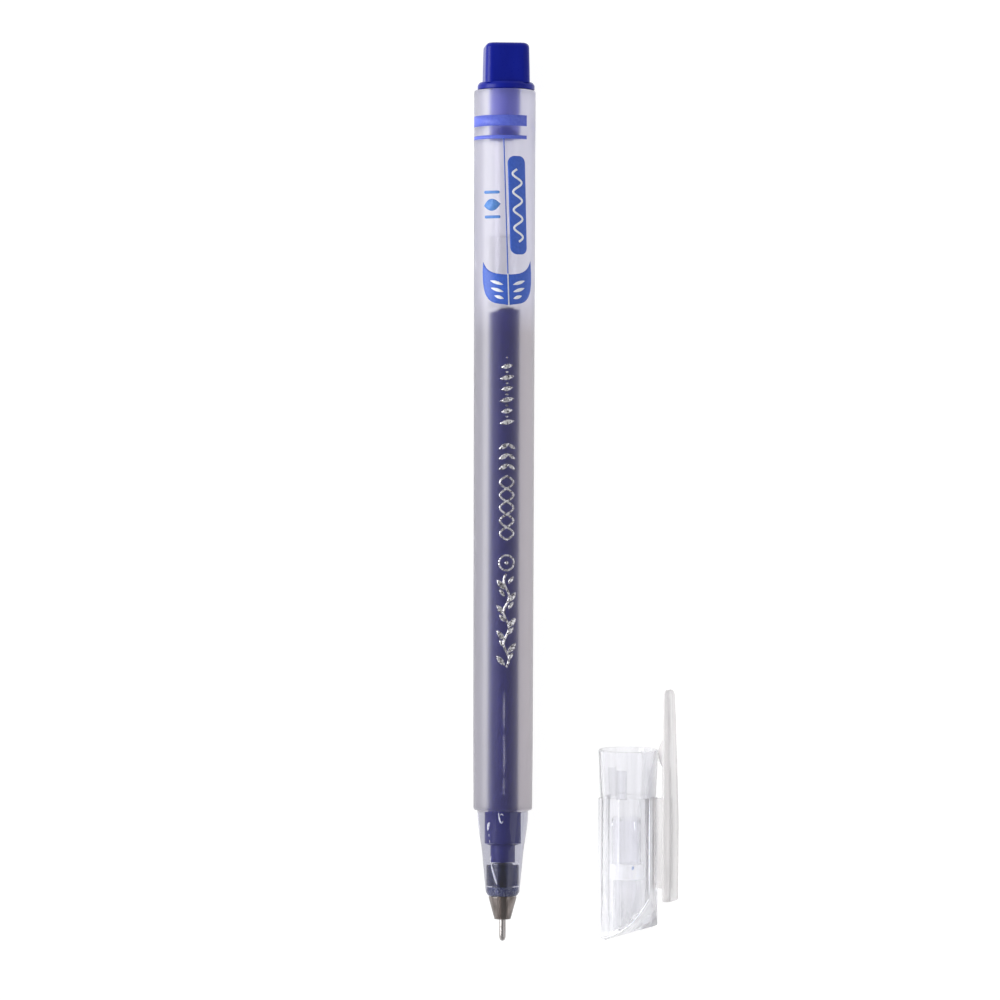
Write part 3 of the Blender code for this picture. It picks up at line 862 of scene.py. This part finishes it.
def make_print():
    """Plain ornament in the places of the print: bands, a leaf, a label, a shield and a stamped garland."""
    blue = print_ink("blue_print", (0.035, 0.105, 0.50), (0.05, 0.135, 0.60))
    pale = print_ink("pale_blue_print", (0.08, 0.22, 0.60), (0.12, 0.30, 0.70))
    band_ink = print_ink("violet_blue_print", (0.085, 0.12, 0.60), (0.12, 0.165, 0.68))
    white = print_ink("white_print", (0.80, 0.82, 0.88), (0.92, 0.93, 0.96))
    slant = {"skew": -0.0333, "origin": 3.2}
    left, right = -15, 4.05
    bands = []
    for s, width in ((136.4, 1.8), (133.65, 0.6)):
        low, high = s - width / 2, s + width / 2
        bands.append([(left, low), (right, low), (right, high), (left, high)])
    printed("printed_bands", bands, band_ink)
    printed("printed_line", [capsule(0, 122.0, 0.2, 22.8, 0.05)], blue, **slant)
    printed("printed_label", [capsule(2.1, 122.35, 3.2, 16.3, 1.2)], blue, **slant)
    printed("label_wave", [wave(2.1, 116.3, 128.3, 0.8, 3.0, 0.36)], white, lift=0.03, **slant)
    symbols = [leaf(-2.4, 122.4, 3.1, 2.0, 0.1)] + [capsule(-2.4, s, 2.9, 0.5) for s in (120.4, 124.5)]
    printed("printed_symbols", symbols, pale, **slant)
    top = [(-4.45, 113.0), (-3.6, 111.8), (-2.2, 111.1), (0, 110.85)]
    top = flowing(top + [(2.2, 111.1), (3.7, 111.9), (4.65, 113.2)])
    right_side = flowing([(4.8, 111.2), (4.7, 109.2), (4.1, 107.5), (2.7, 106.25), (0.2, 105.8)])
    left_side = flowing([(-0.2, 105.8), (-2.7, 106.25), (-4.0, 107.5), (-4.5, 109.2), (-4.6, 111.2)])
    printed("printed_shield", [top + right_side + left_side], blue, **slant)
    marks = [capsule(0, 108.3, 0.2, 5.4, 0.05)]
    for s, length in ((109.5, 2.4), (108.3, 2.3), (107.1, 1.7)):
        for side in (-1, 1):
            marks.append(leaf(side * (0.75 + length / 2), s, length, 0.55, side * 0.3))
    printed("shield_marks", marks, white, lift=0.03, **slant)
    make_foil()


def make_foil():
    """The stamped silver garland: a leafy wave, a ring, a braid of two waves and rows of small leaves."""
    centre = 0.5
    braid = {"low": 66.9, "high": 77.5, "period": 4.24, "width": 0.33}
    outlines = [wave(centre, 45.8, 61.3, 0.45, 5.2, 0.34)]
    for i in range(7):
        s = 46.9 + i * 2.1
        side = 1 if i % 2 else -1
        outlines.append(leaf(centre + side * 0.95, s, 2.2, 0.85, side * 0.85))
        outlines.append(leaf(centre - side * 0.75, s + 0.75, 1.5, 0.6, -side * 0.95))
    ring = 63.1
    outlines += ring_outlines(centre, ring, 1.25, 0.3)
    outlines.append(capsule(centre, ring, 0.6, 0.6))
    outlines.append(wave(centre, amplitude=1.15, **braid))
    for i in range(3):
        s = 79.0 + 1.7 * i
        outlines.append(leaf(centre - 0.5, s, 2.0, 0.75, 0.5))
        outlines.append(leaf(centre + 0.8, s, 1.5, 0.6, -0.6))
    for i in range(6):
        s = 86.4 + 1.85 * i
        outlines.append(leaf(centre, s, 2.5 - 0.5 * (i % 2), 0.8, 0.2))
        outlines.append(capsule(centre, s + 0.9, 0.45, 0.3) if i < 5 else capsule(centre, 97.1, 0.3, 0.3))
    foil = foil_metal()
    printed("stamped_garland", outlines, foil)
    printed("stamped_braid", [wave(centre, amplitude=-1.15, **braid)], foil, lift=0.02)


# ---------------------------------------------------------------- cap


def cap_end(x, up):
    """The closed end's surface: slanted along the widest line, with a twisting slope above that line."""
    edge = 1.3 + 0.27 * x + 0.77 * max(0.0, -x - 3.6) ** 2
    above = max(0.0, up + 0.215 * x)
    slope = 0.22 + 0.03 * max(0.0, x + 2.1) ** 2
    return max(CAP_END - 0.5, edge + above * slope)


def scaled(outline, factor):
    """An outline drawn towards the axis by a factor."""
    return [(x * factor, up * factor) for x, up in outline]


def circle_like(outline, radius):
    """The points of a circle at the same azimuths as an outline's."""
    return [tuple(Vector((x, up)).normalized() * radius) for x, up in outline]


def make_cap_shell():
    """The cap's shell in rings, from the closed end up the outside, over the mouth and down to the post."""
    bm = bmesh.new()
    hexagon = [tuple(p) for p in rounded_polygon(6, CAP_APOTHEM, CAP_CORNER_ROUNDING, CAP_TURN, 5, 5)]
    edge = 0.22
    wall = 1.0
    rest_plane = PAD_BOTTOM - 0.06
    rings = [[bm.verts.new(place(CAP_AXIS, 0, 0, cap_end(0, 0)))]]
    for factor in (0.25, 0.5, 0.75, 0.9, 0.96):
        rings.append(ring_of(bm, CAP_AXIS, scaled(hexagon, factor), cap_end))
    for i in range(1, 4):
        angle = math.pi / 2 * i / 3
        factor = 1 - edge / CAP_APOTHEM * (1 - math.sin(angle))
        rise = edge * (1 - math.cos(angle))
        height = lambda x, up, rise=rise: cap_end(x, up) + rise
        rings.append(ring_of(bm, CAP_AXIS, scaled(hexagon, factor), height))
    for s, factor in ((CAP_LEDGE - 0.15, 1.0), (CAP_LEDGE - 0.04, 0.992), (CAP_LEDGE, 0.975)):
        rings.append(ring_of(bm, CAP_AXIS, scaled(hexagon, factor), s))
    collar = [(4.62, CAP_LEDGE + 0.03), (4.66, CAP_LEDGE + 0.3)]
    collar += [(4.97, CAP_MOUTH - 0.5), (4.99, CAP_MOUTH - 0.15)]
    collar += [(4.9, CAP_MOUTH), (4.55, CAP_MOUTH), (4.44, CAP_MOUTH - 0.15)]
    collar += [(3.98, CAP_LEDGE + 0.6), (CAP_BORE, CAP_LEDGE + 0.2), (CAP_BORE, 17), (CAP_BORE, 11)]
    for radius, s in collar:
        tilt = 0.05 if s > CAP_MOUTH - 1 else 0
        height = lambda x, up, s=s, tilt=tilt: s + tilt * (2 - up)
        rings.append(ring_of(bm, CAP_AXIS, circle_like(hexagon, radius), height))

    def floor(x, up):
        return max(1.9, cap_end(x, up) + wall)

    for radius, rise in ((CAP_BORE, 0.3), (CAP_BORE - 0.3, 0), (CAP_POST + 0.2, 0), (CAP_POST, 0.25)):
        height = lambda x, up, rise=rise: floor(x, up) + rise
        rings.append(ring_of(bm, CAP_AXIS, circle_like(hexagon, radius), height))
    for radius, s in ((CAP_POST, PAD_BOTTOM - 0.15), (CAP_POST - 0.1, rest_plane), (0.8, rest_plane)):
        rings.append(ring_of(bm, CAP_AXIS, circle_like(hexagon, radius), s))
    rings.append([bm.verts.new(place(CAP_AXIS, 0, 0, rest_plane))])
    skin(bm, rings)
    shell = add_piece("cap_body", bm, clear_plastic(clouded_end=0.08), "cap", sharp=30)
    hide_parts("cap_shell")


def box_mesh(bm, axis, azimuth, near, far, half_width, low, high):
    """A box from radius near to far along an azimuth."""
    out = Vector((math.cos(azimuth), math.sin(azimuth)))
    side = Vector((-out.y, out.x))
    rings = []
    for s in (low, high):
        corners = [out * near - side * half_width, out * far - side * half_width]
        corners += [out * far + side * half_width, out * near + side * half_width]
        rings.append(ring_of(bm, axis, [tuple(c) for c in corners], s))
    skin(bm, rings)
    bm.faces.new(rings[0])
    bm.faces.new(rings[1])


def add_bevel(obj, width):
    """Rounded edges of that width in mm."""
    rounding = obj.modifiers.new("rounded edges", "BEVEL")
    rounding.width = width * MM
    rounding.segments = 3
    rounding.limit_method = "ANGLE"


def make_cap_inside():
    """The grip ribs in the collar, the sleeve and the pad."""
    bm = bmesh.new()
    for i in range(3):
        azimuth = CAP_TURN + math.pi / 2 + math.tau * i / 3
        box_mesh(bm, CAP_AXIS, azimuth, 3.88, 4.25, 0.9, CAP_LEDGE - 0.2, 28.7)
    clouded = clear_plastic("clouded_ribs", 0.1, 0.16)
    ribs = add_piece("cap_grip_ribs", bm, clouded, "cap", smooth=False)
    add_bevel(ribs, 0.12)

    rim = [
        (SLEEVE_INNER, SLEEVE_TOP - 1),
        (SLEEVE_INNER, SLEEVE_TOP),
        (SLEEVE_OUTER, SLEEVE_TOP),
        (SLEEVE_OUTER, SLEEVE_TOP - 1),
    ]
    foot = [(SLEEVE_OUTER, PAD_TOP + 0.05), (SLEEVE_INNER, PAD_TOP + 0.05)]
    bm = turned_mesh(softened(rim, 0.1) + foot, CAP_AXIS, 64, ring=True)
    tube = add_piece("cap_sleeve", bm, clear_plastic("clear_sleeve", 0.12, 0.02), "cap")
    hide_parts("needle_sleeve")

    dent = [(0, PAD_TOP - 0.5), (0.6, PAD_TOP - 0.45), (0.9, PAD_TOP)]
    sides = [(PAD_RADIUS, PAD_TOP), (PAD_RADIUS, PAD_BOTTOM), (0, PAD_BOTTOM)]
    bm = turned_mesh(softened(dent + sides, 0.2), CAP_AXIS, 64)
    pad = add_piece("cap_seal", bm, pad_rubber(), "cap")
    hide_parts("seal_pad")


def make_cap_marks():
    """Painted highlights as glowing threads at the sleeve's rim and along two edges, and the ball's dab of
    ink on the pad.
    """
    bm = bmesh.new()
    # Painted highlights: glowing threads at the sleeve's rim, along the closed end's upper edge and along a
    # corner edge.
    thread(bm, [(2.6, 164, 19.0), (2.6, 158, 19.6), (2.6, 150, 19.2)], 0.12, CAP_AXIS)
    thread(bm, [(2.6, 70, 20.1), (2.6, 68, 19.3), (2.6, 68, 18.6)], 0.1, CAP_AXIS)
    upper_faces = [CAP_TURN + math.pi / 3 * k for k in range(3)]
    path = []
    for x in (-4.1, -3.0, -1.6, 0.0, 1.2, 2.3, 3.4):
        up = min((CAP_APOTHEM - x * math.cos(a)) / math.sin(a) for a in upper_faces)
        path.append((math.hypot(x, up), math.degrees(math.atan2(up, x)), cap_end(x, up) + 0.1))
    thread(bm, path, 0.065, CAP_AXIS)
    corner_radius = CAP_APOTHEM / math.cos(math.pi / 6) - 0.05
    corner = math.degrees(CAP_TURN) + 30
    thread(bm, [(corner_radius, corner, s) for s in (8.0, 12.0, 16.0, 20.0, CAP_LEDGE)], 0.075, CAP_AXIS)
    add_piece("painted_cap_glints", bm, glint("painted_edge_highlight"), "cap")
    bm = bmesh.new()
    thread(bm, [(2.92, 80, 12.1), (2.92, 77, 12.5), (2.92, 74, 12.7)], 0.24, CAP_AXIS)
    pale_ink = print_ink("dabbed_ink", (0.50, 0.62, 0.95), (0.62, 0.74, 1.0))
    add_piece("ink_dab", bm, pale_ink, "cap")


def clip_section(s):
    """(inner distance, outer distance, width) of the clip at s."""
    taper_start, bow_length = 20, 22
    t = max(0.0, min(1.0, (s - taper_start) / (CLIP_TOP - taper_start)))
    bow = math.sin(math.pi * min(1, max(0, (s - CLIP_BOTTOM) / bow_length)))
    inner = 6.5 - 0.1 * t
    outer = 8.05 + 0.08 * bow - 0.45 * t**1.5
    width = 5.0 - 1.3 * t**1.3
    return inner, outer, width


def make_clip():
    """One milky moulding, its arm free above the web, with the bump that grips the cloth."""
    bm = bmesh.new()
    out = Vector((math.cos(CAP_TURN), math.sin(CAP_TURN)))
    side = Vector((-out.y, out.x))
    rounding = 0.38
    bottom_rounding, top_rounding, top_inset = 0.4, 1.1, 0.55
    bump_middle, bump_reach, bump_width, bump_height = 31.4, 3.1, 1.3, 1.28
    stations = []
    for i in range(6):
        angle = math.pi / 2 * i / 5
        rise, inset = bottom_rounding * (1 - math.cos(angle)), bottom_rounding * (1 - math.sin(angle))
        stations.append((CLIP_BOTTOM + rise, inset))
    count = 56
    straight = CLIP_TOP - CLIP_BOTTOM - bottom_rounding - top_rounding
    for i in range(1, count):
        stations.append((CLIP_BOTTOM + bottom_rounding + straight * i / count, 0.0))
    for i in range(7):
        angle = math.pi / 2 * i / 6
        stations.append((CLIP_TOP - top_rounding * (1 - math.sin(angle)), top_inset * (1 - math.cos(angle))))
    rings = []
    for s, inset in stations:
        inner, outer, width = clip_section(s)
        inner, outer, width = inner + inset, outer - inset, width - 2 * inset
        radius = min(rounding, (outer - inner) / 2 - 0.02, width / 2 - 0.02)
        points = []
        corners = ((outer - radius, width / 2 - radius, 0), (inner + radius, width / 2 - radius, 1))
        corners += ((inner + radius, radius - width / 2, 2), (outer - radius, radius - width / 2, 3))
        for u, v, quarter in corners:
            for k in range(5):
                angle = math.pi / 2 * (quarter + k / 4)
                points.append((u + radius * math.cos(angle), v + radius * math.sin(angle)))
            if quarter == 1:
                for k in range(1, 10):
                    points.append((inner, (width / 2 - radius) * (1 - k / 5)))
            if quarter == 3:
                for k in range(1, 10):
                    points.append((outer, (radius - width / 2) * (1 - k / 5)))
        bump = max(0.0, 1 - ((s - bump_middle) / bump_reach) ** 2)
        shaped = []
        for u, v in points:
            across = max(0.0, 1 - (v / bump_width) ** 2)
            if u < inner + 0.05:
                u -= bump_height * bump**1.3 * across
            shaped.append(tuple(out * u + side * v))
        rings.append(ring_of(bm, CAP_AXIS, shaped, s))
    skin(bm, rings)
    bm.faces.new(rings[0])
    bm.faces.new(rings[-1])
    clip = add_piece("pocket_clip", bm, milky_plastic(), None)
    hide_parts("clip_root", "clip_arm")
    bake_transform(clip)
    bm = bmesh.new()
    box_mesh(bm, CAP_AXIS, CAP_TURN, CAP_APOTHEM + 0.01, 6.8, 0.6, 9.0, CAP_LEDGE)
    milky = milky_plastic("milky_web", 0.3)
    web = add_piece("clip_web", bm, milky, "cap", smooth=False)
    add_bevel(web, 0.15)


# ---------------------------------------------------------------- stage


def make_stage():
    """A pale table that glows like a lit background, a sky that is dimmer overhead, and two soft lights."""
    just_below = -0.05 * MM
    bpy.ops.mesh.primitive_plane_add(size=3, location=(0, 0, just_below))
    floor = bpy.context.object
    floor.name = "table"
    looks = Looks("pale_table", Roughness=0.9)
    grey = looks.ramp(looks.noise(60, 4), (0.3, (0.14, 0.14, 0.14)), (0.7, (0.16, 0.16, 0.16)))
    looks.drive("Base Color", grey)
    looks.shader.inputs["Emission Color"].default_value = (1, 1, 1, 1)
    looks.shader.inputs["Emission Strength"].default_value = 0.93
    floor.data.materials.append(looks.material)
    make_sky()
    add_light("left_softbox", (-0.6, 0.1, 0.26), 0.45, 3.6)
    add_light("right_fill", (0.5, -0.1, 0.4), 0.4, 0.4)


def make_sky():
    """Soft light from all round, dimmer overhead and on the right."""
    world = bpy.data.worlds.new("soft studio")
    world.use_nodes = True
    bpy.context.scene.world = world
    tree = world.node_tree
    background = tree.nodes["Background"]
    coordinates = tree.nodes.new("ShaderNodeTexCoord")
    split = tree.nodes.new("ShaderNodeSeparateXYZ")
    ramp = tree.nodes.new("ShaderNodeValToRGB")
    tree.links.new(coordinates.outputs["Generated"], split.inputs[0])
    ramp.color_ramp.elements[0].color = (1.0, 1.0, 1.0, 1)
    ramp.color_ramp.elements[1].color = (0.42, 0.42, 0.43, 1)
    tree.links.new(split.outputs["Z"], ramp.inputs["Fac"])
    sideways = tree.nodes.new("ShaderNodeMapRange")
    sideways.inputs["From Min"].default_value = -1
    sideways.inputs["To Min"].default_value = 1.0
    sideways.inputs["To Max"].default_value = 0.72
    tree.links.new(split.outputs["X"], sideways.inputs["Value"])
    tree.links.new(ramp.outputs["Color"], background.inputs["Color"])
    tree.links.new(sideways.outputs["Result"], background.inputs["Strength"])


def add_light(name, location, size, power):
    """A square light, its size in metres, that faces the middle of the table."""
    light = bpy.data.lights.new(name, "AREA")
    light.size = size
    light.energy = power
    obj = bpy.data.objects.new(name, light)
    obj.location = location
    obj.rotation_euler = (-Vector(location)).to_track_quat("-Z", "Y").to_euler()
    bpy.context.scene.collection.objects.link(obj)


def make_camera():
    """Straight above the pen, with 6 picture points to the millimetre on its axis."""
    distance = 0.76
    field_mm = 1000 / 6
    aim_aside, aim_along, roll = -0.62, 73.5, 0.17
    camera = bpy.data.cameras.new("camera")
    camera.angle = 2 * math.atan(field_mm * MM / 2 / distance)
    camera.clip_start = 0.01
    obj = bpy.data.objects.new("camera", camera)
    obj.location = (PEN_AXIS.x + aim_aside * MM, BALL_FRONT + aim_along * MM, AXIS_HEIGHT + distance)
    obj.rotation_euler = (0, 0, math.radians(roll))
    bpy.context.scene.collection.objects.link(obj)
    bpy.context.scene.camera = obj


bpy.context.scene.view_settings.view_transform = "Standard"
make_camera()
make_stage()
make_barrel()
make_end_plug()
make_ink()
make_follower()
make_tip()
make_painted_air_glints()
make_print()
make_cap_shell()
make_cap_inside()
make_cap_marks()
make_clip()

bpy.context.view_layer.update()
